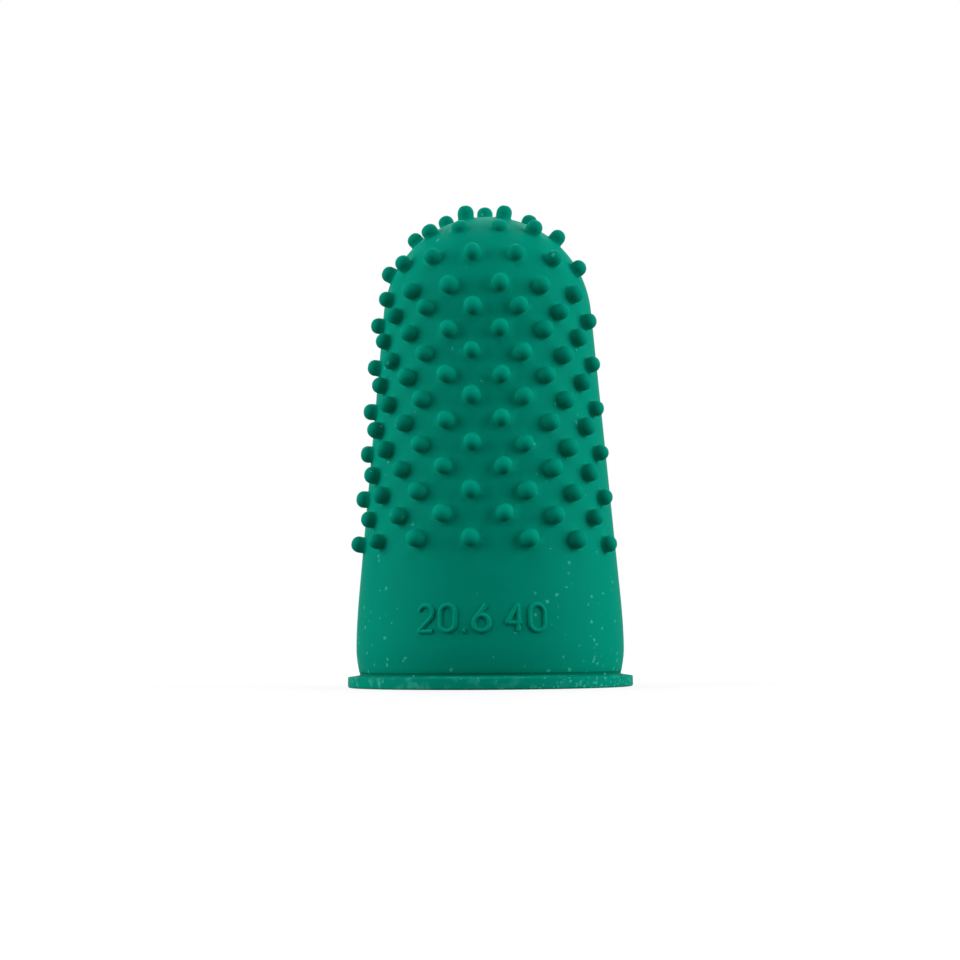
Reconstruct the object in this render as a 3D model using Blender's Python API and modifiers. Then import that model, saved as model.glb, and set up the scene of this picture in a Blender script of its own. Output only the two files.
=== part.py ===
"""Rubber fingertip: a moulded finger cone with a flange round its mouth and a field of grip nubs.

Metres, +Z up. The origin is the centre of the mouth, on the plane that the flange rests on, and the
two nubbed faces look along -Y and +Y. The moulding is made whole, as it comes out of its mould,
and then divided on flat rings into its four regions: flange, plain cuff, nubbed sleeve, nubbed tip.
"""

import math

import bmesh
import bpy
from mathutils import Matrix, Vector

MM = 0.001

# Room for the finger, and the rubber round it
MOUTH_BORE = 20.6 * MM
TIP_BORE = 16.3 * MM
FINGER_DEPTH = 39.5 * MM
WALL = 0.9 * MM

# Plain cuff: narrower across its top, widest at a swell just above the flange, drawn in to meet it
CUFF_TOP = 10.4 * MM
CUFF_TOP_NARROWER = 0.86 * MM
SWELL_HEIGHT = 3.3 * MM
NECK_DRAW = 0.25 * MM
NECK_FILLET = 0.25 * MM

# Flange round the mouth: its top falls a little towards its rounded edge
RIM_THICKNESS = 1.0 * MM
RIM_PROJECTION = 0.93 * MM
RIM_FALL = 0.12 * MM
RIM_ROUND = 0.2 * MM

# Nubs: round-ended posts in staggered rows, on two faces with a bare strip along each mould parting.
# The two halves of a row stand a little apart in degrees, and the back has shorter rows.
NUB_DIAMETER = 1.4 * MM
NUB_HEIGHT = 1.05 * MM
NUB_ROUND = 0.5 * MM
FIRST_ROW_ABOVE_CUFF = 1.19 * MM
SLEEVE_ROWS = 11
LONG_ROW_NUBS = 7
SHORT_ROW_NUBS = 6
BACK_ROWS_SHORTER = 1
NUB_TURN = 22.3
HALVES_APART = 1.7

# Rings on the tip: degrees above the ball's equator, nubs to a face, and degrees from nub to nub
TIP_RINGS = (
    (5.2, 6, 22.3),
    (22.4, 7, 22.3),
    (45.0, 6, 26.6),
    (66.0, 4, 46.0),
    (81.5, 1, 0.0),
)

# Colour of the rubber, linear, and how dull its surface is
RUBBER_COLOUR = (0.004, 0.205, 0.150, 1.0)
RUBBER_ROUGHNESS = 0.5

# Facets, and the distance under which neighbouring points are welded
TURN_STEPS = 48
BALL_STEPS = 8
BORE_STEPS = 6
CURVE_STEPS = 3
ROUND_STEPS = 2
NUB_SIDES = 6
WELD = 0.01 * MM

# What follows from those sizes
BALL_RADIUS = TIP_BORE / 2 + WALL
BALL_HEIGHT = FINGER_DEPTH + WALL - BALL_RADIUS
SWELL_RADIUS = MOUTH_BORE / 2 + WALL
CUFF_TOP_RADIUS = SWELL_RADIUS - CUFF_TOP_NARROWER / 2
NECK_RADIUS = SWELL_RADIUS - NECK_DRAW
RIM_RADIUS = NECK_RADIUS + RIM_PROJECTION
CONE_DROP = BALL_HEIGHT - CUFF_TOP
CONE_REACH = math.hypot(CUFF_TOP_RADIUS, CONE_DROP)
TAPER = math.acos(BALL_RADIUS / CONE_REACH) - math.atan2(CONE_DROP, CUFF_TOP_RADIUS)
FIRST_ROW = CUFF_TOP + FIRST_ROW_ABOVE_CUFF
FIRST_RING = BALL_HEIGHT + BALL_RADIUS * math.sin(math.radians(TIP_RINGS[0][0]))
ROW_SPACING = (FIRST_RING - FIRST_ROW) / SLEEVE_ROWS
TIP_BASE = FIRST_RING - ROW_SPACING / 2
NUB_ROOT = WALL / 2
CROWN = FINGER_DEPTH + WALL + NUB_HEIGHT
BLOCK_WIDTH = 3 * RIM_RADIUS


def arc(centre, radius, start, end, steps):
    """Points (r, z) of a circle's arc, from angle start to angle end, measured up from the r axis."""
    turns = [start + (end - start) * i / steps for i in range(steps + 1)]
    return [(centre[0] + radius * math.cos(t), centre[1] + radius * math.sin(t)) for t in turns]


def ease(top, top_slope, bottom, bottom_slope):
    """Points (r, z) of the smooth curve between two heights that leaves each end at its slope dr/dz."""
    fall = bottom[1] - top[1]
    points = []
    for i in range(CURVE_STEPS + 1):
        t = i / CURVE_STEPS
        keep = (1 + 2 * t) * (1 - t) ** 2
        lead = t * (1 - t) ** 2 * fall * top_slope
        tail = t * t * (t - 1) * fall * bottom_slope
        points.append((keep * top[0] + (1 - keep) * bottom[0] + lead + tail, top[1] + t * fall))
    return points


def ball_and_cuff(ball_radius, cuff_radius, swell_radius, ball_steps):
    """One side of the wall from the tip down to the swell: ball, straight taper, eased cuff."""
    ball = arc((0.0, BALL_HEIGHT), ball_radius, math.pi / 2, TAPER, ball_steps)
    ball[0] = (0.0, BALL_HEIGHT + ball_radius)
    cuff = ease((cuff_radius, CUFF_TOP), -math.tan(TAPER), (swell_radius, SWELL_HEIGHT), 0.0)
    return ball + cuff


def moulding_profile():
    """Half section of the whole moulding: down its outside, round the flange and up its inside."""
    outside = ball_and_cuff(BALL_RADIUS, CUFF_TOP_RADIUS, SWELL_RADIUS, BALL_STEPS)
    neck_slope = 2 * NECK_DRAW / (SWELL_HEIGHT - RIM_THICKNESS)
    fillet_top = RIM_THICKNESS + NECK_FILLET
    neck = ease((SWELL_RADIUS, SWELL_HEIGHT), 0.0, (NECK_RADIUS, fillet_top), neck_slope)
    fillet = arc((NECK_RADIUS + NECK_FILLET, fillet_top), NECK_FILLET, math.pi, 1.5 * math.pi, ROUND_STEPS)
    edge = RIM_RADIUS - RIM_ROUND
    edge_top = RIM_THICKNESS - RIM_FALL - RIM_ROUND
    flange = arc((edge, edge_top), RIM_ROUND, math.pi / 2, 0.0, ROUND_STEPS)
    flange += arc((edge, RIM_ROUND), RIM_ROUND, 0.0, -math.pi / 2, ROUND_STEPS)
    mouth = arc((MOUTH_BORE / 2 + RIM_ROUND, RIM_ROUND), RIM_ROUND, 1.5 * math.pi, math.pi, ROUND_STEPS)
    bore_at_cuff_top = CUFF_TOP_RADIUS - WALL / math.cos(TAPER)
    inside = ball_and_cuff(TIP_BORE / 2, bore_at_cuff_top, MOUTH_BORE / 2, BORE_STEPS)
    return outside + neck[1:] + fillet[1:] + flange + mouth + inside[::-1]


def spread(count, turn):
    """Angles of a row's nubs from the middle of their face, in radians."""
    steps = [i - (count - 1) / 2 for i in range(count)]
    sides = [(step > 0) - (step < 0) for step in steps]
    return [math.radians(step * turn + side * HALVES_APART) for step, side in zip(steps, sides)]


def rows_of_nubs():
    """Each row or ring: r and z on the skin, its posts' angle above level, nubs and turn."""
    rows = []
    for i in range(SLEEVE_ROWS):
        height = FIRST_ROW + i * ROW_SPACING
        radius = CUFF_TOP_RADIUS - (height - CUFF_TOP) * math.tan(TAPER)
        count = SHORT_ROW_NUBS if i % 2 else LONG_ROW_NUBS
        rows.append(((radius, height), TAPER, count, NUB_TURN))
    for up, count, turn in TIP_RINGS:
        lift = math.radians(up)
        skin = arc((0.0, BALL_HEIGHT), BALL_RADIUS, lift, lift, 1)[0]
        rows.append((skin, lift, count, turn))
    return rows


def nub_places():
    """Matrices that carry a post along +Z, with its root at the origin, to its place on the skin."""
    front, back = -math.pi / 2, math.pi / 2
    places = []
    for (radius, height), lift, count, turn in rows_of_nubs():
        foot = Matrix.Translation((radius, 0.0, height))
        lean = Matrix.Rotation(math.pi / 2 - lift, 4, "Y")
        angles = [front + angle for angle in spread(count, turn)]
        angles += [back + angle for angle in spread(count - BACK_ROWS_SHORTER, turn)]
        places += [Matrix.Rotation(angle, 4, "Z") @ foot @ lean for angle in angles]
    return places


def new_object(name, mesh, collection):
    mesh.shade_smooth()
    obj = bpy.data.objects.new(name, mesh)
    collection.objects.link(obj)
    return obj


def helper(obj):
    """A shape that other objects are made from: wire in the viewport, absent from a render."""
    obj.display_type = "WIRE"
    obj.hide_render = True
    return obj


def boolean(obj, operation, other):
    modifier = obj.modifiers.new(operation.lower(), "BOOLEAN")
    modifier.operation = operation
    modifier.object = other
    modifier.solver = "EXACT"


def nub_post():
    """Mesh of one nub: a post along +Z with a rounded end, its foot at the origin and a root below."""
    post = bmesh.new()
    bmesh.ops.create_cone(
        post,
        cap_ends=True,
        segments=NUB_SIDES,
        radius1=NUB_DIAMETER / 2,
        radius2=NUB_DIAMETER / 2,
        depth=NUB_HEIGHT + NUB_ROOT,
        matrix=Matrix.Translation((0.0, 0.0, (NUB_HEIGHT - NUB_ROOT) / 2)),
    )
    end = [edge for edge in post.edges if all(v.co.z > 0.0 for v in edge.verts)]
    bmesh.ops.bevel(
        post,
        geom=end,
        offset=NUB_ROUND,
        segments=ROUND_STEPS,
        profile=0.5,
        affect="EDGES",
        clamp_overlap=True,
        material=-1,
    )
    data = bpy.data.meshes.new("nub_post")
    post.to_mesh(data)
    post.free()
    return data


def nub_field(collection):
    """Every nub in its place, as one helper object."""
    post = nub_post()
    field = bmesh.new()
    for place in nub_places():
        copy = post.copy()
        copy.transform(place)
        field.from_mesh(copy)
        bpy.data.meshes.remove(copy)
    bpy.data.meshes.remove(post)
    data = bpy.data.meshes.new("nub_field")
    field.to_mesh(data)
    field.free()
    return helper(new_object("nub_field", data, collection))


def whole_moulding(collection):
    """The turned wall with every nub joined to it."""
    half_facet = Matrix.Rotation(math.pi / TURN_STEPS, 3, "Z")
    profile = bmesh.new()
    points = [profile.verts.new(half_facet @ Vector((r, 0.0, z))) for r, z in moulding_profile()]
    for start, end in zip(points, points[1:]):
        profile.edges.new((start, end))
    data = bpy.data.meshes.new("moulding")
    profile.to_mesh(data)
    profile.free()
    obj = helper(new_object("moulding", data, collection))
    turn = obj.modifiers.new("turn", "SCREW")
    turn.axis = "Z"
    turn.steps = TURN_STEPS
    turn.render_steps = TURN_STEPS
    turn.use_merge_vertices = True
    turn.merge_threshold = WELD
    boolean(obj, "UNION", nub_field(collection))
    return obj


def region(name, bottom, top, moulding, material, collection):
    """The stretch of the moulding between two heights, cut out of a block that is wider than it."""
    middle = Matrix.Translation((0.0, 0.0, (bottom + top) / 2))
    size = Matrix.Diagonal((BLOCK_WIDTH, BLOCK_WIDTH, top - bottom, 1.0))
    block = bmesh.new()
    bmesh.ops.create_cube(block, size=1.0, matrix=middle @ size)
    data = bpy.data.meshes.new(name)
    block.to_mesh(data)
    block.free()
    data.materials.append(material)
    obj = new_object(name, data, collection)
    boolean(obj, "INTERSECT", moulding)
    return obj


def green_rubber():
    material = bpy.data.materials.new("green_rubber")
    material.use_nodes = True
    shader = material.node_tree.nodes["Principled BSDF"]
    shader.inputs["Base Color"].default_value = RUBBER_COLOUR
    shader.inputs["Roughness"].default_value = RUBBER_ROUGHNESS
    shader.inputs["Metallic"].default_value = 0.0
    return material


def new_collection(name):
    collection = bpy.data.collections.new(name)
    bpy.context.scene.collection.children.link(collection)
    return collection


for obj in list(bpy.data.objects):
    bpy.data.objects.remove(obj, do_unlink=True)

parts = new_collection("rubber_fingertip")
tools = new_collection("fingertip_tools")
moulding = whole_moulding(tools)
rubber = green_rubber()
region("rim_flange", -WALL, RIM_THICKNESS, moulding, rubber, parts)
region("cuff_band", RIM_THICKNESS, CUFF_TOP, moulding, rubber, parts)
region("grip_sleeve", CUFF_TOP, TIP_BASE, moulding, rubber, parts)
region("tip_dome", TIP_BASE, CROWN + WALL, moulding, rubber, parts)
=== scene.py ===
import math
import random

import bmesh
import bpy
import numpy as np
from mathutils import Matrix, Vector, kdtree


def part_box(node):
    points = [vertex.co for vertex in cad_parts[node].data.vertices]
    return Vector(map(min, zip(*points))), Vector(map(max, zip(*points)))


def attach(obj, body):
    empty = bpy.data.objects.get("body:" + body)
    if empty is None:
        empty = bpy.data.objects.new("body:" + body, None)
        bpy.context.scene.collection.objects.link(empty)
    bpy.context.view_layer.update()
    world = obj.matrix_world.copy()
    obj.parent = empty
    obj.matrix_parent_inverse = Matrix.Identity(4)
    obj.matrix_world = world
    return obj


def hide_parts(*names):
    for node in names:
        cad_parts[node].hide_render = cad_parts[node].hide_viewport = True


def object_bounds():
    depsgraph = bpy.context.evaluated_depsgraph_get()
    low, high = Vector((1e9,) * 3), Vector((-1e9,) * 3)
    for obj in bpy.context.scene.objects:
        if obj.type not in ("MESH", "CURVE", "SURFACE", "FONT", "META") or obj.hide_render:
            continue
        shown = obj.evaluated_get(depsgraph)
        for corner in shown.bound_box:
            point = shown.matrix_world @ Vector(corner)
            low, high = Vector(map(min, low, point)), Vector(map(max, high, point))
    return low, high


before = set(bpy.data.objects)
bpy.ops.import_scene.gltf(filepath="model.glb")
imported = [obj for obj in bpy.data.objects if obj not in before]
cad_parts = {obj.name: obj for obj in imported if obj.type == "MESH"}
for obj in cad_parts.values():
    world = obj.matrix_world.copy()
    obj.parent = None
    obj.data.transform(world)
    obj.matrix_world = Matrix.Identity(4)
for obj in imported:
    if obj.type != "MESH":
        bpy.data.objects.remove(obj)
cad_low, cad_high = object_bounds()


# Rim flange: the flat ring that the open mouth ends in and that the fingertip stands on. It is one
# with the cuff, moulded from green natural rubber; its top falls a little to a rounded edge, where
# talc from the packing clings. It is turned here from its section, as the mould was.
MM = 0.001
COLUMNS = 104
WELD = 0.001 * MM
SHARP = math.radians(50)
BORE = 10.3 * MM
NECK = 10.95 * MM
RIM_PROJECTION = 0.93 * MM
RIM_TOP_ROUND = 0.09 * MM
RIM_TOP_STEPS = 5
RIM_FOOT_ROUND = 0.16 * MM
RIM_FOOT_STEPS = 3
RIM_FALL = 0.12 * MM
rim_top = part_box("rim_flange")[1].z


def arc(centre, radius, start, end, steps):
    """Points (r, z) of a circle's arc, from angle start to angle end, in degrees up from the r axis."""
    turns = [math.radians(start + (end - start) * i / steps) for i in range(steps + 1)]
    return [(centre[0] + radius * math.cos(t), centre[1] + radius * math.sin(t)) for t in turns]


def turned(section, closed=True):
    """A bmesh ring or cap, turned about Z from its section's points (r, z)."""
    mesh = bmesh.new()
    points = [mesh.verts.new((r, 0.0, z)) for r, z in section]
    pairs = list(zip(points, points[1:]))
    if closed:
        pairs.append((points[-1], points[0]))
    lines = [mesh.edges.new(pair) for pair in pairs]
    bmesh.ops.spin(
        mesh,
        geom=points + lines,
        cent=(0.0, 0.0, 0.0),
        axis=(0.0, 0.0, 1.0),
        angle=2 * math.pi,
        steps=COLUMNS,
        use_merge=True,
    )
    bmesh.ops.remove_doubles(mesh, verts=mesh.verts, dist=WELD)
    bmesh.ops.recalc_face_normals(mesh, faces=mesh.faces)
    return mesh


def linear(colour):
    """An sRGB hex colour as the linear values that Blender works in."""
    channels = [int(colour[i:i + 2], 16) / 255 for i in (1, 3, 5)]
    return [c / 12.92 if c <= 0.04045 else ((c + 0.055) / 1.055) ** 2.4 for c in channels] + [1.0]


def add_node(tree, kind, values=None, links=None, **settings):
    """A node with its settings, the values of its sockets and the outputs that feed them."""
    node = tree.nodes.new(kind)
    for name, value in settings.items():
        setattr(node, name, value)
    for socket, value in (values or {}).items():
        node.inputs[socket].default_value = value
    for socket, output in (links or {}).items():
        tree.links.new(output, node.inputs[socket])
    return node


# Moulded green rubber: opaque, with the soft satin skin of a blasted steel mould. The eye sees an
# even deep green, faintly clouded, with almost no gloss. A painted highlight makes the ends of nubs and
# strokes paler, and painted shade darkens the crease above the flange. Talc lies on it as a thin film
# on the flange's left half, and as pale flecks on its right half and on the flanks of the cuff, fewer
# higher up.
RUBBER_GREEN = "#008f77"
RUBBER_SHADE = "#008670"
# Painted highlight: the paler green of the ends of nubs and the tops of strokes.
HIGHLIGHT_GREEN = "#009c82"
# Painted shade: the darker green of the crease above the flange.
CREASE_SHADE_GREEN = "#006552"
TALC = "#45bda6"
RUBBER_ROUGHNESS = (0.5, 0.62)
CLOUD_SIZE = 3.5 * MM
# A blasted mould's grain is finer than this: it is drawn as coarse as it needs to be to show.
GRAIN_SIZE = 0.22 * MM
GRAIN_DEPTH = 0.02 * MM
GRAIN_STRENGTH = 0.25
CREASE_START = 0.01 * MM
CREASE_FADE = (0.2 * MM, 0.29 * MM)
FILM_SIZE = 0.9 * MM
FILM_THRESHOLD = (0.5, 0.68)
FILM_STRENGTH = 0.4
RIM_RIGHT_FROM_TO = (-2 * MM, 9 * MM)
FLANKS_FROM_TO = (3.5 * MM, 8 * MM)
FLECKS_BETWEEN_FLANKS = 0.2
FLECKS_THIN_OUT = (1.5 * MM, 12 * MM)
FLECKS_HIGH_UP = 0.12
FLECK_STRENGTH = 0.62
FLECK_CORE = 0.7
SMEAR_SIZE = 0.17 * MM
SMEAR_REACH = 0.4 * MM
# The sockets of a Mix node that hold its two colours, and the one that gives the mixed colour.
COLOUR_UNDER, COLOUR_OVER, COLOUR_MIXED = 6, 7, 2

rubber = bpy.data.materials.new("moulded_green_rubber")
rubber.use_nodes = True
tree = rubber.node_tree
shader = tree.nodes["Principled BSDF"]
shader.inputs["IOR"].default_value = 1.52
shader.inputs["Specular IOR Level"].default_value = 0.005
spot = add_node(tree, "ShaderNodeTexCoord").outputs["Object"]
along = add_node(tree, "ShaderNodeSeparateXYZ", links={"Vector": spot}).outputs
cloud = add_node(
    tree, "ShaderNodeTexNoise", {"Scale": 1 / CLOUD_SIZE, "Detail": 3.0}, {"Vector": spot}
).outputs["Fac"]
green = add_node(
    tree, "ShaderNodeMix", {COLOUR_UNDER: linear(RUBBER_SHADE), COLOUR_OVER: linear(RUBBER_GREEN)},
    {"Factor": cloud}, data_type="RGBA",
).outputs[COLOUR_MIXED]

# The painted highlight on the ends of nubs and the tops of strokes is marked on the vertices of their
# pieces.
painted_highlight = add_node(tree, "ShaderNodeAttribute", attribute_name="painted_highlight").outputs["Fac"]

# The painted shade of the crease runs round the outside of the neck, just above the flange, and not
# round the bore.
fading_upwards = add_node(
    tree, "ShaderNodeMapRange",
    {"From Min": rim_top + CREASE_FADE[0], "From Max": rim_top + CREASE_FADE[1],
     "To Min": 1.0, "To Max": 0.0},
    {"Value": along["Z"]}, interpolation_type="SMOOTHSTEP",
).outputs["Result"]
above_the_rim = add_node(
    tree, "ShaderNodeMath", {1: rim_top + CREASE_START}, {0: along["Z"]}, operation="GREATER_THAN"
).outputs["Value"]
level = add_node(
    tree, "ShaderNodeVectorMath", {1: (1.0, 1.0, 0.0)}, {0: spot}, operation="MULTIPLY"
).outputs["Vector"]
from_axis = add_node(
    tree, "ShaderNodeVectorMath", links={0: level}, operation="LENGTH"
).outputs["Value"]
outside = add_node(
    tree, "ShaderNodeMath", {1: (BORE + NECK) / 2}, {0: from_axis}, operation="GREATER_THAN"
).outputs["Value"]
crease_band = add_node(
    tree, "ShaderNodeMath", links={0: fading_upwards, 1: above_the_rim}, operation="MULTIPLY"
).outputs["Value"]
crease_shade = add_node(
    tree, "ShaderNodeMath", links={0: crease_band, 1: outside}, operation="MULTIPLY"
).outputs["Value"]

# The film of talc lies in clouds on the flange and wears off towards its right half.
on_the_rim = add_node(
    tree, "ShaderNodeMath", {1: rim_top}, {0: along["Z"]}, operation="LESS_THAN"
).outputs["Value"]
to_the_right = add_node(
    tree, "ShaderNodeMapRange", {"From Min": RIM_RIGHT_FROM_TO[0], "From Max": RIM_RIGHT_FROM_TO[1]},
    {"Value": along["X"]},
).outputs["Result"]
rim_right = add_node(
    tree, "ShaderNodeMath", links={0: on_the_rim, 1: to_the_right}, operation="MULTIPLY"
).outputs["Value"]
rim_left = add_node(
    tree, "ShaderNodeMath", links={0: on_the_rim, 1: rim_right}, operation="SUBTRACT"
).outputs["Value"]
film_clouds = add_node(
    tree, "ShaderNodeTexNoise", {"Scale": 1 / FILM_SIZE, "Detail": 2.0}, {"Vector": spot}
).outputs["Fac"]
film_patches = add_node(
    tree, "ShaderNodeMapRange",
    {"From Min": FILM_THRESHOLD[0], "From Max": FILM_THRESHOLD[1],
     "To Min": 0.0, "To Max": FILM_STRENGTH},
    {"Value": film_clouds},
).outputs["Result"]
film = add_node(
    tree, "ShaderNodeMath", links={0: film_patches, 1: rim_left}, operation="MULTIPLY"
).outputs["Value"]

# The flecks are cells of a pattern, some of them picked by lot, with their edges smeared.
up_the_cuff = add_node(
    tree, "ShaderNodeMapRange",
    {"From Min": FLECKS_THIN_OUT[0], "From Max": FLECKS_THIN_OUT[1],
     "To Min": 1.0, "To Max": FLECKS_HIGH_UP},
    {"Value": along["Z"]}, interpolation_type="SMOOTHSTEP",
).outputs["Result"]
sideways = add_node(
    tree, "ShaderNodeMath", links={0: along["X"]}, operation="ABSOLUTE"
).outputs["Value"]
on_the_flanks = add_node(
    tree, "ShaderNodeMapRange",
    {"From Min": FLANKS_FROM_TO[0], "From Max": FLANKS_FROM_TO[1],
     "To Min": FLECKS_BETWEEN_FLANKS, "To Max": 1.0},
    {"Value": sideways},
).outputs["Result"]
cuff_flanks = add_node(
    tree, "ShaderNodeMath", links={0: up_the_cuff, 1: on_the_flanks}, operation="MULTIPLY"
).outputs["Value"]
smear = add_node(
    tree, "ShaderNodeTexNoise", {"Scale": 1 / SMEAR_SIZE}, {"Vector": spot}
).outputs["Color"]
smeared = add_node(
    tree, "ShaderNodeVectorMath", {1: [SMEAR_REACH] * 3}, {0: smear, 2: spot}, operation="MULTIPLY_ADD"
).outputs["Vector"]
# The painted highlight and the painted shade of the crease are laid over the green along with the talc.
talc_and_painted_light = [(HIGHLIGHT_GREEN, painted_highlight), (CREASE_SHADE_GREEN, crease_shade), (TALC, film)]
# For each kind of fleck: spacing, radius, the largest share of cells that hold one, and where they lie.
FLECKS = (
    (0.8 * MM, 0.17 * MM, 0.85, cuff_flanks),
    (0.5 * MM, 0.08 * MM, 0.2, cuff_flanks),
    (0.32 * MM, 0.12 * MM, 0.55, rim_right),
)
for spacing, fleck_radius, largest_share, where in FLECKS:
    cells = add_node(tree, "ShaderNodeTexVoronoi", {"Scale": 1 / spacing}, {"Vector": smeared}).outputs
    lot = add_node(tree, "ShaderNodeSeparateColor", links={"Color": cells["Color"]}).outputs["Red"]
    limit = add_node(
        tree, "ShaderNodeMath", {1: largest_share}, {0: where}, operation="MULTIPLY"
    ).outputs["Value"]
    picked = add_node(
        tree, "ShaderNodeMath", links={0: lot, 1: limit}, operation="LESS_THAN"
    ).outputs["Value"]
    fleck = add_node(
        tree, "ShaderNodeMapRange",
        {"From Min": FLECK_CORE * fleck_radius / spacing, "From Max": fleck_radius / spacing,
         "To Min": FLECK_STRENGTH, "To Max": 0.0},
        {"Value": cells["Distance"]},
    ).outputs["Result"]
    shown = add_node(
        tree, "ShaderNodeMath", links={0: fleck, 1: picked}, operation="MULTIPLY"
    ).outputs["Value"]
    talc_and_painted_light.append((TALC, shown))
for colour, cover in talc_and_painted_light:
    green = add_node(
        tree, "ShaderNodeMix", {COLOUR_OVER: linear(colour)}, {"Factor": cover, COLOUR_UNDER: green},
        data_type="RGBA",
    ).outputs[COLOUR_MIXED]
tree.links.new(green, shader.inputs["Base Color"])

gloss = add_node(
    tree, "ShaderNodeMapRange", {"To Min": RUBBER_ROUGHNESS[0], "To Max": RUBBER_ROUGHNESS[1]},
    {"Value": cloud},
).outputs["Result"]
tree.links.new(gloss, shader.inputs["Roughness"])
grain = add_node(
    tree, "ShaderNodeTexNoise", {"Scale": 1 / GRAIN_SIZE, "Detail": 2.0}, {"Vector": spot}
).outputs["Fac"]
bump = add_node(
    tree, "ShaderNodeBump", {"Strength": GRAIN_STRENGTH, "Distance": GRAIN_DEPTH}, {"Height": grain}
).outputs["Normal"]
tree.links.new(bump, shader.inputs["Normal"])


def rubber_piece(name, mesh, *nodes):
    """A finished stretch of the moulding, in rubber, that stands for its CAD nodes."""
    for face in mesh.faces:
        face.smooth = True
    data = bpy.data.meshes.new(name)
    mesh.to_mesh(data)
    mesh.free()
    data.set_sharp_from_angle(angle=SHARP)
    data.materials.append(rubber)
    piece = bpy.data.objects.new(name, data)
    bpy.context.scene.collection.objects.link(piece)
    piece.modifiers.new("even_shading", "WEIGHTED_NORMAL").keep_sharp = True
    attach(piece, "root")
    if nodes:
        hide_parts(*nodes)
    return piece


rim_edge = NECK + RIM_PROJECTION
rim_shoulder = rim_top - RIM_FALL - RIM_TOP_ROUND
rim_section = [(NECK, rim_top)]
rim_section += arc((rim_edge - RIM_TOP_ROUND, rim_shoulder), RIM_TOP_ROUND, 90, 0, RIM_TOP_STEPS)
rim_section += arc((rim_edge - RIM_FOOT_ROUND, RIM_FOOT_ROUND), RIM_FOOT_ROUND, 0, -90, RIM_FOOT_STEPS)
rim_section += arc((BORE + RIM_FOOT_ROUND, RIM_FOOT_ROUND), RIM_FOOT_ROUND, 270, 180, RIM_FOOT_STEPS)
rim_section.append((BORE, rim_top))
rubber_piece("rim_flange_rubber", turned(rim_section), "rim_flange")


# Cuff band: the plain stretch between flange and nubs, of the same rubber. It widens downwards to a
# soft swell and draws in again to a shallow groove, which the mould leaves along the flange.
WALL = 0.9 * MM
CUFF_TOP_NARROWER = 0.86 * MM
CUFF_LINES = 14
CUFF_BORE_LINES = 6
SWELL_HEIGHT = 3.3 * MM
SWELL_LINES = 5
GROOVE_HEIGHT = 0.27 * MM
GROOVE_SLOPE = 0.9
GROOVE_LINES = 5
TIP_BORE = 16.3 * MM
FINGER_DEPTH = 39.5 * MM
swell = BORE + WALL
cuff_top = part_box("cuff_band")[1].z
cuff_top_radius = swell - CUFF_TOP_NARROWER / 2
ball = TIP_BORE / 2 + WALL
ball_height = FINGER_DEPTH + WALL - ball
taper = (math.acos(ball / math.hypot(cuff_top_radius, ball_height - cuff_top))
         - math.atan2(ball_height - cuff_top, cuff_top_radius))


def ease(top, top_slope, bottom, bottom_slope, steps):
    """Points (r, z) of the smooth curve between two heights that leaves each end at its slope dr/dz."""
    fall = bottom[1] - top[1]
    points = []
    for t in [i / steps for i in range(steps + 1)]:
        keep = (1 + 2 * t) * (1 - t) ** 2
        lead = t * (1 - t) ** 2 * fall * top_slope
        tail = t * t * (t - 1) * fall * bottom_slope
        points.append((keep * top[0] + (1 - keep) * bottom[0] + lead + tail, top[1] + t * fall))
    return points


groove_top = rim_top + GROOVE_HEIGHT
neck_slope = 2 * (swell - NECK) / (SWELL_HEIGHT - rim_top)
wall_slope = -math.tan(taper)
bore_at_cuff_top = cuff_top_radius - WALL / math.cos(taper)
cuff_outside = ease((cuff_top_radius, cuff_top), wall_slope, (swell, SWELL_HEIGHT), 0.0, CUFF_LINES)
cuff_section = list(cuff_outside)
cuff_section += ease((swell, SWELL_HEIGHT), 0.0, (NECK, groove_top), neck_slope, SWELL_LINES)[1:]
cuff_section += ease((NECK, groove_top), GROOVE_SLOPE, (NECK, rim_top), -GROOVE_SLOPE, GROOVE_LINES)[1:]
cuff_section.append((BORE, rim_top))
cuff_inside = ease((bore_at_cuff_top, cuff_top), wall_slope, (BORE, SWELL_HEIGHT), 0.0, CUFF_BORE_LINES)
cuff_section += cuff_inside[::-1]
rubber_piece("cuff_band_rubber", turned(cuff_section), "cuff_band")


# Size number: plain raised figures on the front of the cuff, the bore at the mouth and the length in
# millimetres. An engraver cut them into the mould in single round strokes, so they stand a little
# proud of the cuff, with soft edges, in the same rubber.
SIZE_FIGURES = "20.6 40"
STROKE = 0.4 * MM
STROKE_RISE = 0.2 * MM
FIGURE_WIDTH = 1.2 * MM
FIGURE_HEIGHT = 2.0 * MM
FIGURE_GAP = 0.62 * MM
POINT_WIDTH = 0.2 * MM
SPACE_WIDTH = 0.7 * MM
FOUR_STEM = 0.75 * FIGURE_WIDTH
FOUR_BAR = 0.3 * FIGURE_HEIGHT
SIX_TOP = 0.8 * FIGURE_WIDTH
CORNER_REACH = 0.16 * MM
CORNER_STEPS = 6
FIGURES_TURN = math.radians(2.9)
FIGURES_FOOT = 4.4 * MM
figure_round = FIGURE_WIDTH / 2
upper = (figure_round, FIGURE_HEIGHT - figure_round)
lower = (figure_round, figure_round)
figure_strokes = {
    "0": (arc(upper, figure_round, 0, 180, 8) + arc(lower, figure_round, 180, 360, 8)
          + [(FIGURE_WIDTH, upper[1])]),
    "2": arc(upper, figure_round, 165, -38, 9) + [(0.0, 0.0), (FIGURE_WIDTH, 0.0)],
    "4": [(FOUR_STEM, 0.0), (FOUR_STEM, FIGURE_HEIGHT), (0.0, FOUR_BAR), (FIGURE_WIDTH, FOUR_BAR)],
    "6": [(SIX_TOP, FIGURE_HEIGHT)] + arc(lower, figure_round, 155, 500, 16),
    ".": [(0.0, 0.0), (POINT_WIDTH, 0.0)],
}


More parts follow.
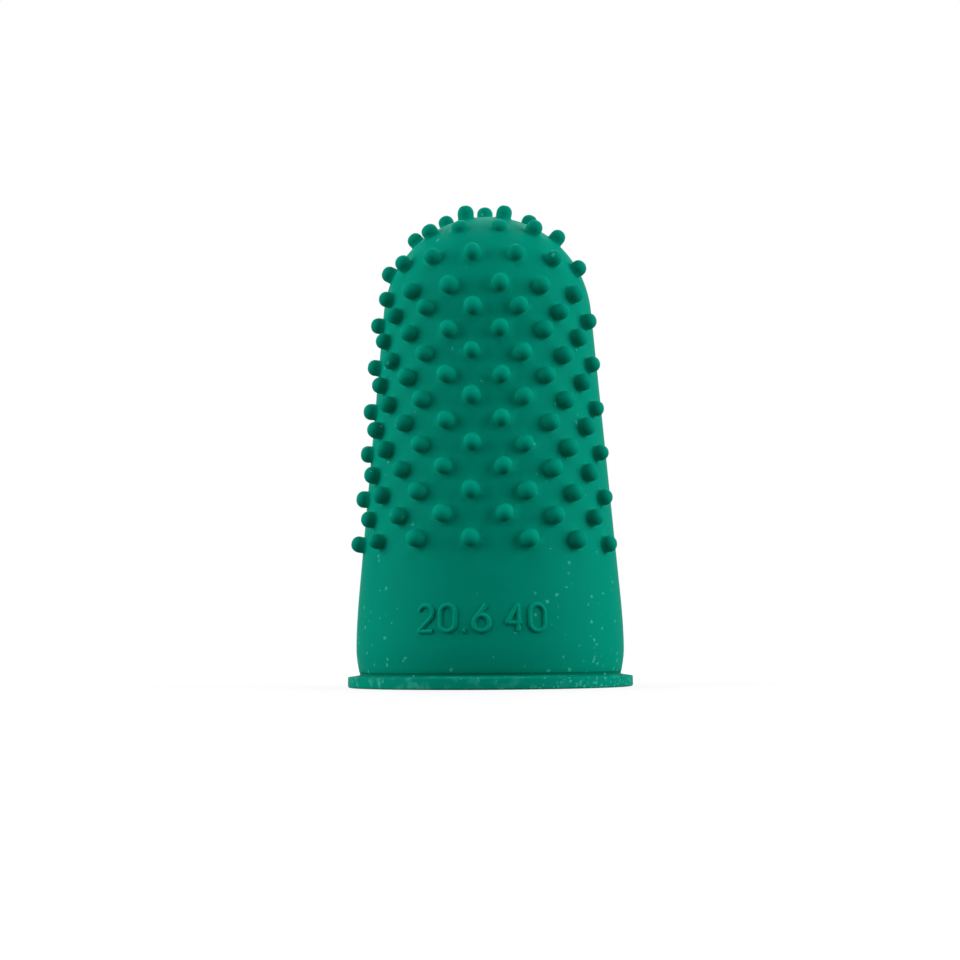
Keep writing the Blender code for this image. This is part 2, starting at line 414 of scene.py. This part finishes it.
def soften_corners(path):
    """The path with its sharp corners drawn as short curves, on which a stroke keeps its width."""
    points = [Vector(point) for point in path]
    soft = points[:1]
    for before, corner, after in zip(points, points[1:], points[2:]):
        if (corner - before).angle(after - corner) < SHARP:
            soft.append(corner)
            continue
        start = corner + (before - corner).normalized() * CORNER_REACH
        end = corner + (after - corner).normalized() * CORNER_REACH
        shares = [i / CORNER_STEPS for i in range(CORNER_STEPS + 1)]
        soft += [start * (1 - t) ** 2 + corner * 2 * t * (1 - t) + end * t * t for t in shares]
    return soft + points[-1:]


strokes = bpy.data.curves.new("size_number", "CURVE")
strokes.dimensions = "3D"
strokes.bevel_depth = STROKE / 2
strokes.bevel_resolution = 2
strokes.use_fill_caps = True
reach = 0.0
for figure in SIZE_FIGURES:
    if figure == " ":
        reach += SPACE_WIDTH
        continue
    path = soften_corners(figure_strokes[figure])
    stroke = strokes.splines.new("POLY")
    stroke.points.add(len(path) - 1)
    for point, (x, y) in zip(stroke.points, path):
        point.co = (reach + x, y, 0.0, 1.0)
    reach += max(x for x, y in path) + FIGURE_GAP
figures_width = reach - FIGURE_GAP
engraving = bpy.data.objects.new("size_number_strokes", strokes)
flat_figures = bpy.data.meshes.new_from_object(engraving)
bpy.data.objects.remove(engraving)
bpy.data.curves.remove(strokes)
figures = bmesh.new()
figures.from_mesh(flat_figures)
bpy.data.meshes.remove(flat_figures)
bmesh.ops.remove_doubles(figures, verts=figures.verts, dist=WELD)
cuff_heights = [z for r, z in cuff_outside][::-1]
cuff_radii = [r for r, z in cuff_outside][::-1]
# The outer half of each stroke carries the painted highlight.
figure_highlight = figures.verts.layers.float.new("painted_highlight")
for vert in figures.verts:
    vert[figure_highlight] = max(0.0, vert.co.z / STROKE)
    vert_height = FIGURES_FOOT + vert.co.y
    skin_radius = np.interp(vert_height, cuff_heights, cuff_radii)
    vert_radius = skin_radius + vert.co.z + STROKE_RISE - STROKE / 2
    bearing = FIGURES_TURN + (vert.co.x - figures_width / 2) / swell
    vert.co = (vert_radius * math.sin(bearing), -vert_radius * math.cos(bearing), vert_height)
rubber_piece("size_number", figures)


# Grip sleeve: the tapered stretch of the same rubber that carries eleven staggered rows of nubs on its
# two faces, with a bare strip along each mould parting. The nubs are round-ended posts, one with the
# wall, and each comes out of the mould a little unlike the next.
FIRST_ROW_ABOVE_CUFF = 1.19 * MM
SLEEVE_ROWS = 11
LINES_TO_A_ROW = 3
SLEEVE_BORE_LINES = 8
LONG_ROW_NUBS = 7
SHORT_ROW_NUBS = 6
BACK_ROWS_SHORTER = 1
NUB_TURN = 22.3
HALVES_APART = 1.7
LONG_ROW_SHIFT = -1.1
ROW_SLANT = 0.14 * MM
NUB_RADIUS = 0.69 * MM
NUB_HEIGHT = 1.05 * MM
NUB_ROUND = 0.62 * MM
NUB_ROUND_TURN = 80
NUB_ROUND_STEPS = 5
NUB_FILLET = 0.07 * MM
NUB_SHIFT = 0.05 * MM
NUB_LEAN = math.radians(2.5)
NUB_STRETCH = 0.04
NUB_SEED = 20
# The share of a nub's height, down from its end, over which the painted highlight fades out.
HIGHLIGHT_SHARE = 0.35
FRONT_REACH = math.radians(25)
PATCH_REACH = 1.27 * MM
PATCH_DEPTH = WALL / 4
chance = random.Random(NUB_SEED)
tip_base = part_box("tip_dome")[0].z
first_row = cuff_top + FIRST_ROW_ABOVE_CUFF
# The sleeve ends half a row above its last row.
row_spacing = (tip_base - first_row) / (SLEEVE_ROWS - 0.5)
tangent = ball_height + ball * math.sin(taper)
ball_centre = Vector((0.0, 0.0, ball_height))
nub_end = (NUB_RADIUS - NUB_ROUND, NUB_HEIGHT - NUB_ROUND)
nub_section = arc((NUB_RADIUS + NUB_FILLET, NUB_FILLET), NUB_FILLET, 270, 180, 1)
nub_section += arc(nub_end, NUB_ROUND, 0, NUB_ROUND_TURN, NUB_ROUND_STEPS)


def run(start, end, steps):
    """Points (r, z) of a straight run, without its first."""
    shares = [i / steps for i in range(1, steps + 1)]
    return [(start[0] + (end[0] - start[0]) * s, start[1] + (end[1] - start[1]) * s) for s in shares]


def cone_radius(height):
    """The radius of the bare skin at a height on the tapered stretch."""
    return cuff_top_radius - (height - cuff_top) * math.tan(taper)


def onto_skin(point):
    """The point of the bare skin, cone or ball, that lies under or over a point near it."""
    if point.z > tangent:
        return ball_centre + (point - ball_centre).normalized() * ball
    flat = Vector((point.x, point.y, 0.0))
    return flat.normalized() * cone_radius(point.z) + Vector((0.0, 0.0, point.z))


def spread(count, turn, shift):
    """Angles of a row's nubs from the middle of their face, in radians."""
    steps = [i - (count - 1) / 2 for i in range(count)]
    sides = [(step > 0) - (step < 0) for step in steps]
    return [math.radians(step * turn + side * HALVES_APART + shift) for step, side in zip(steps, sides)]


def uneven():
    """The small shift, lean and stretch that makes one moulded nub unlike the next."""
    shift = Matrix.Translation((chance.gauss(0, NUB_SHIFT), chance.gauss(0, NUB_SHIFT), 0.0))
    lean_across = Matrix.Rotation(chance.gauss(0, NUB_LEAN), 4, "X")
    lean_along = Matrix.Rotation(chance.gauss(0, NUB_LEAN), 4, "Y")
    width = 1 + chance.gauss(0, NUB_STRETCH)
    stretch = Matrix.Diagonal((width, width, 1 + chance.gauss(0, NUB_STRETCH), 1.0))
    return shift @ (lean_across @ lean_along) @ stretch


def nub_places(radius, height, lift, count, turn, shift, front_share=1.0):
    """Matrices that carry a post along +Z, with its foot at the origin, to its places in a row.

    The nubs near the middle of the front keep only front_share of their height.
    """
    post = Matrix.Translation((radius, 0.0, height)) @ Matrix.Rotation(math.pi / 2 - lift, 4, "Y")
    places = []
    for face, nubs in ((-math.pi / 2, count), (math.pi / 2, count - BACK_ROWS_SHORTER)):
        for angle in spread(nubs, turn, shift):
            slant = Matrix.Translation((ROW_SLANT * angle, 0.0, 0.0))
            share = front_share if face < 0 and abs(angle) < FRONT_REACH else 1.0
            lower_post = Matrix.Diagonal((1.0, 1.0, share, 1.0))
            places.append(Matrix.Rotation(face + angle, 4, "Z") @ post @ slant @ uneven() @ lower_post)
    return places


def raise_nubs(mesh, places):
    """Turns the patch of skin round each place into one face and draws it out into a nub."""
    # The painted highlight on the nubs' ends is kept on their vertices.
    end_highlight = mesh.verts.layers.float.new("painted_highlight")
    feet = kdtree.KDTree(len(places))
    for i, place in enumerate(places):
        feet.insert(place.translation, i)
    feet.balance()
    patches = [[] for place in places]
    for face in mesh.faces:
        centre = face.calc_center_median()
        nearest, i, distance = feet.find(centre)
        if distance < PATCH_REACH and (onto_skin(centre) - centre).length < PATCH_DEPTH:
            patches[i].append(face)
    for place, patch in zip(places, patches):
        face = bmesh.ops.dissolve_faces(mesh, faces=patch)["region"][0]
        # Nubs that point forwards or back carry the painted highlight on their ends, and those that
        # point sideways do not.
        highlight_strength = max(0.0, 2 * place.col[2].y ** 2 - 1)
        local = place.inverted()
        flat = [local @ v.co for v in face.verts]
        even = 2 * math.pi * np.arange(len(flat)) / len(flat)
        turn = (np.unwrap([math.atan2(p.y, p.x) for p in flat]) - even).mean()
        for radius, height in nub_section:
            face = bmesh.ops.extrude_discrete_faces(mesh, faces=[face])["faces"][0]
            for vert, angle in zip(face.verts, even + turn):
                foot = place @ Vector((radius * math.cos(angle), radius * math.sin(angle), 0.0))
                settle = (onto_skin(foot) - foot) * (1 - height / NUB_HEIGHT)
                vert.co = foot + settle + place.col[2].to_3d() * height
                vert[end_highlight] = highlight_strength * max(0.0, 1 - (1 - height / NUB_HEIGHT) / HIGHLIGHT_SHARE)


sleeve_lines = round((tip_base - cuff_top) / row_spacing * LINES_TO_A_ROW)
bore_at_tip_base = cone_radius(tip_base) - WALL / math.cos(taper)
sleeve_section = [(cone_radius(tip_base), tip_base)]
sleeve_section += run(sleeve_section[0], (cuff_top_radius, cuff_top), sleeve_lines)
sleeve_section.append((bore_at_cuff_top, cuff_top))
sleeve_section += run((bore_at_cuff_top, cuff_top), (bore_at_tip_base, tip_base), SLEEVE_BORE_LINES)
sleeve = turned(sleeve_section)
sleeve_places = []
for row in range(SLEEVE_ROWS):
    row_height = first_row + row * row_spacing
    count = SHORT_ROW_NUBS if row % 2 else LONG_ROW_NUBS
    shift = 0.0 if row % 2 else LONG_ROW_SHIFT
    sleeve_places += nub_places(cone_radius(row_height), row_height, taper, count, NUB_TURN, shift)
raise_nubs(sleeve, sleeve_places)
rubber_piece("grip_sleeve_rubber", sleeve, "grip_sleeve")


# Tip dome: the rounded end that closes the sleeve over the finger's pad, of the same rubber, with
# rings of the same nubs that thin out towards the crown. Two nubs at the front of it came out low.
BALL_LINES = 28
BALL_BORE_LINES = 12
BALL_FOOT_LINES = 2
# For each ring: degrees up the ball, nubs to the front, degrees between them, degrees that the ring is
# shifted by, and the share of their height that the nubs near the middle of the front keep.
TIP_RINGS = (
    (5.2, SHORT_ROW_NUBS, NUB_TURN, 0.0, 1.0),
    (22.4, LONG_ROW_NUBS, NUB_TURN, LONG_ROW_SHIFT, 1.0),
    (45.0, 6, 26.6, 1.0, 0.6),
    (66.0, 4, 46.0, 4.0, 1.0),
    (81.5, 1, 0.0, 0.0, 1.0),
)
# The section's two ends are put exactly on the axis.
tip_section = arc((0.0, ball_height), ball, 90, math.degrees(taper), BALL_LINES)
tip_section[0] = (0.0, ball_height + ball)
tip_section += run(tip_section[-1], (cone_radius(tip_base), tip_base), BALL_FOOT_LINES)
tip_section.append((bore_at_tip_base, tip_base))
tip_section += arc((0.0, ball_height), TIP_BORE / 2, math.degrees(taper), 90, BALL_BORE_LINES)
tip_section[-1] = (0.0, ball_height + TIP_BORE / 2)
tip = turned(tip_section, closed=False)
tip_places = []
for rise, count, turn, shift, front_share in TIP_RINGS:
    skin_at = arc((0.0, ball_height), ball, rise, rise, 1)[0]
    tip_places += nub_places(*skin_at, math.radians(rise), count, turn, shift, front_share)
raise_nubs(tip, tip_places)
rubber_piece("tip_dome_rubber", tip, "tip_dome")


# Floor and light: a pale table top, a large soft box at each side, small ones above and behind, and a
# camera a few millimetres over the table that looks a little up at the fingertip.
FLOOR_SIZE = 1200 * MM
FLOOR_GREY = "#707070"
FLOOR_GLOW = (0.8, 1.0)
FLOOR_GLOW_REACH = (50 * MM, 250 * MM)
DAYLIGHT = 0.03
CAMERA_LENS = 47.25
CAMERA_SENSOR = 36.0
CAMERA_NEAREST = 1 * MM
CAMERA_DISTANCE = 107.0 * MM
CAMERA_HEIGHT = 2.35 * MM
CAMERA_TURN = 6.5
CAMERA_PITCH = 8.05
CAMERA_AIM_LEFT = 0.4
CAMERA_ROLL = -0.41

ground = bmesh.new()
bmesh.ops.create_grid(ground, x_segments=1, y_segments=1, size=FLOOR_SIZE / 2)
floor_data = bpy.data.meshes.new("table_top")
ground.to_mesh(floor_data)
ground.free()
floor = bpy.data.objects.new("table_top", floor_data)
bpy.context.scene.collection.objects.link(floor)


def seen_rays(tree):
    """One for rays that show a surface, to the camera, in a gloss or through glass, and else nought."""
    ray = add_node(tree, "ShaderNodeLightPath").outputs
    seen_or_glossy = add_node(
        tree, "ShaderNodeMath", links={0: ray["Is Camera Ray"], 1: ray["Is Glossy Ray"]},
        operation="ADD",
    ).outputs["Value"]
    return add_node(
        tree, "ShaderNodeMath", links={0: seen_or_glossy, 1: ray["Is Transmission Ray"]},
        operation="ADD", use_clamp=True,
    ).outputs["Value"]


# White paper: matt and even. It glows white to the eye alone, and a little less round the fingertip,
# so that the shadow still shows there.
paper = bpy.data.materials.new("white_paper")
paper.use_nodes = True
paper_tree = paper.node_tree
paper_shader = paper_tree.nodes["Principled BSDF"]
paper_shader.inputs["Base Color"].default_value = linear(FLOOR_GREY)
paper_shader.inputs["Roughness"].default_value = 0.9
paper_shader.inputs["Specular IOR Level"].default_value = 0.05
paper_shader.inputs["Emission Color"].default_value = (1.0, 1.0, 1.0, 1.0)
paper_spot = add_node(paper_tree, "ShaderNodeTexCoord").outputs["Object"]
from_fingertip = add_node(
    paper_tree, "ShaderNodeVectorMath", links={0: paper_spot}, operation="LENGTH"
).outputs["Value"]
glow = add_node(
    paper_tree, "ShaderNodeMapRange",
    {"From Min": FLOOR_GLOW_REACH[0], "From Max": FLOOR_GLOW_REACH[1],
     "To Min": FLOOR_GLOW[0], "To Max": FLOOR_GLOW[1]},
    {"Value": from_fingertip},
).outputs["Result"]
seen_glow = add_node(
    paper_tree, "ShaderNodeMath", links={0: glow, 1: seen_rays(paper_tree)}, operation="MULTIPLY"
).outputs["Value"]
paper_tree.links.new(seen_glow, paper_shader.inputs["Emission Strength"])
floor_data.materials.append(paper)

world = bpy.data.worlds.new("studio")
bpy.context.scene.world = world
world.use_nodes = True
backdrop = world.node_tree.nodes["Background"]
backdrop.inputs["Color"].default_value = (1.0, 1.0, 1.0, 1.0)
brightness = add_node(
    world.node_tree, "ShaderNodeMapRange", {"To Min": DAYLIGHT, "To Max": 1.0},
    {"Value": seen_rays(world.node_tree)},
).outputs["Result"]
world.node_tree.links.new(brightness, backdrop.inputs["Strength"])

middle = Vector((0.0, 0.0, (cad_low.z + cad_high.z) / 2))


def soft_box(name, turn, rise, distance, size, watts):
    """A square area light, turned from the camera's side to the right, that faces the fingertip."""
    around = math.radians(CAMERA_TURN + turn)
    up = math.radians(rise)
    away = Vector((math.sin(around) * math.cos(up), -math.cos(around) * math.cos(up), math.sin(up)))
    data = bpy.data.lights.new(name, "AREA")
    data.size = size
    data.energy = watts
    lamp = bpy.data.objects.new(name, data)
    lamp.location = middle + away * distance
    lamp.rotation_euler = (-away).to_track_quat("-Z", "Y").to_euler()
    bpy.context.scene.collection.objects.link(lamp)


soft_box("soft_box_right", turn=75, rise=10, distance=300 * MM, size=320 * MM, watts=1.5)
soft_box("soft_box_left", turn=-79, rise=12, distance=300 * MM, size=320 * MM, watts=1.32)
soft_box("soft_box_above", turn=0, rise=60, distance=150 * MM, size=80 * MM, watts=0.045)
soft_box("soft_box_behind", turn=180, rise=60, distance=150 * MM, size=100 * MM, watts=0.13)

lens = bpy.data.cameras.new("camera")
lens.sensor_width = CAMERA_SENSOR
lens.lens = CAMERA_LENS
lens.clip_start = CAMERA_NEAREST
camera = bpy.data.objects.new("camera", lens)
stand = math.radians(CAMERA_TURN)
camera.location = (CAMERA_DISTANCE * math.sin(stand), -CAMERA_DISTANCE * math.cos(stand), CAMERA_HEIGHT)
heading = Matrix.Rotation(math.radians(CAMERA_TURN + CAMERA_AIM_LEFT), 4, "Z")
pitch = Matrix.Rotation(math.radians(90 + CAMERA_PITCH), 4, "X")
roll = Matrix.Rotation(math.radians(CAMERA_ROLL), 4, "Z")
camera.rotation_euler = (heading @ pitch @ roll).to_euler()
bpy.context.scene.collection.objects.link(camera)
bpy.context.scene.camera = camera
bpy.context.scene.view_settings.view_transform = "Standard"
